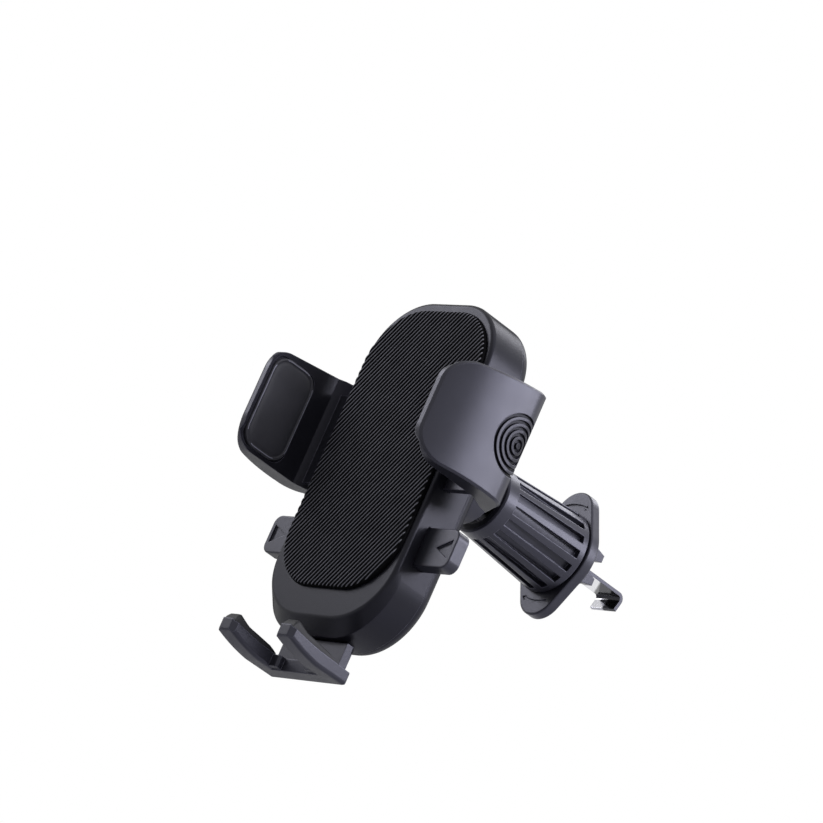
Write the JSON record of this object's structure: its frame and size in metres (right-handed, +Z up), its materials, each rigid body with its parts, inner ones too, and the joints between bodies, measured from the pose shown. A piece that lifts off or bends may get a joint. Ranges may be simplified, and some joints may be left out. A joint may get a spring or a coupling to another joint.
{
  "type": "car phone holder",
  "caption": "Spring-grip cradle with side arms and a forked foot on a ball joint, clamped to an air-vent blade by a hook.",
  "frame": {"origin": "on the knob's axis, at the seat face of the clip block where the vent teeth stand", "axes": "+Y into the vent along the knob's axis, +Z up, +X to the right seen from the grip side"},
  "size_m": [0.088, 0.1124, 0.1092],
  "materials": {
    "dark_plastic": "satin",
    "black_rubber": "matte",
    "bright_steel": "polished",
    "inner_plastic": "satin",
    "spring_steel": "brushed"
  },
  "bodies": {
    "vent_base": {"base_plate": "dark_plastic", "thrust_washer": "inner_plastic", "retaining_ring": "spring_steel", "ball_stud": "inner_plastic"},
    "tightening_knob": {"knob": "dark_plastic", "knob_bush": "inner_plastic"},
    "vent_hook": {"hook": "bright_steel", "hook_carrier": "inner_plastic"},
    "liner": {"ball_liner": "inner_plastic"},
    "cup": {"seat_cup": "inner_plastic"},
    "cradle": {"spring_washer": "spring_steel", "socket_cap": "inner_plastic", "socket_collar": "dark_plastic", "front_cover": "dark_plastic", "front_pad": "black_rubber", "rear_cover": "dark_plastic", "pinion_pin": "spring_steel", "arm_spring": "spring_steel", "lock_spring": "spring_steel", "detent_spring": "spring_steel", "cover_screw_1": "spring_steel", "cover_screw_2": "spring_steel", "cover_screw_3": "spring_steel", "cover_screw_4": "spring_steel"},
    "right_side": {"right_arm": "dark_plastic", "right_arm_pad": "black_rubber"},
    "left_side": {"left_arm": "dark_plastic", "left_arm_pad": "black_rubber"},
    "gear": {"pinion": "inner_plastic"},
    "right_button": {"release_button_right": "dark_plastic"},
    "left_button": {"release_button_left": "dark_plastic"},
    "lock": {"lock_plate": "inner_plastic"},
    "foot_slide": {"foot": "dark_plastic", "foot_pad_right": "black_rubber", "foot_pad_left": "black_rubber"}
  },
  "joints": [
    {"name": "knob_turn", "type": "hinge", "parent": "vent_base", "child": "tightening_knob", "pos_m": [0, 0, 0], "axis": [0, 1, 0], "range_deg": [-90, 240]},
    {"name": "hook_slide", "type": "slide", "parent": "vent_base", "child": "vent_hook", "axis": [0, 1, 0], "range_m": [-0.008, 0.003]},
    {"name": "ball_tilt", "type": "hinge", "parent": "vent_base", "child": "liner", "pos_m": [0, -0.0462, 0], "axis": [1, 0, 0], "range_deg": [-24, 24]},
    {"name": "ball_swivel", "type": "hinge", "parent": "liner", "child": "cup", "pos_m": [0, -0.0462, 0], "axis": [0, 0, 1], "range_deg": [-24, 24]},
    {"name": "ball_spin", "type": "hinge", "parent": "cup", "child": "cradle", "pos_m": [0, -0.0462, 0], "axis": [0, 1, 0], "continuous": true},
    {"name": "right_arm_slide", "type": "slide", "parent": "cradle", "child": "right_side", "axis": [1, 0, 0], "range_m": [-0.0065, 0.011]},
    {"name": "left_arm_slide", "type": "slide", "parent": "cradle", "child": "left_side", "axis": [-1, 0, 0], "range_m": [-0.0065, 0.011]},
    {"name": "pinion_turn", "type": "hinge", "parent": "cradle", "child": "gear", "pos_m": [0, -0.067, 0], "axis": [0, 1, 0], "range_deg": [-62.07, 105.04]},
    {"name": "right_button_press", "type": "slide", "parent": "cradle", "child": "right_button", "axis": [-1, 0, 0], "range_m": [0, 0.0025]},
    {"name": "left_button_press", "type": "slide", "parent": "cradle", "child": "left_button", "axis": [1, 0, 0], "range_m": [0, 0.0025]},
    {"name": "lock_slide", "type": "slide", "parent": "cradle", "child": "lock", "axis": [0, 0, -1], "range_m": [0, 0.002], "deforming": ["lock_spring"]},
    {"name": "foot_slide", "type": "slide", "parent": "cradle", "child": "foot_slide", "axis": [0, 0, -1], "range_m": [0, 0.02]}
  ],
  "couplings": [
    {"joint": "knob_turn", "follows": "hook_slide", "rad_per_m": -523.6},
    {"joint": "left_arm_slide", "follows": "right_arm_slide", "ratio": 1},
    {"joint": "pinion_turn", "follows": "right_arm_slide", "rad_per_m": 166.67},
    {"joint": "left_button_press", "follows": "right_button_press", "ratio": 1},
    {"joint": "lock_slide", "follows": "right_button_press", "ratio": 0.8}
  ]
}
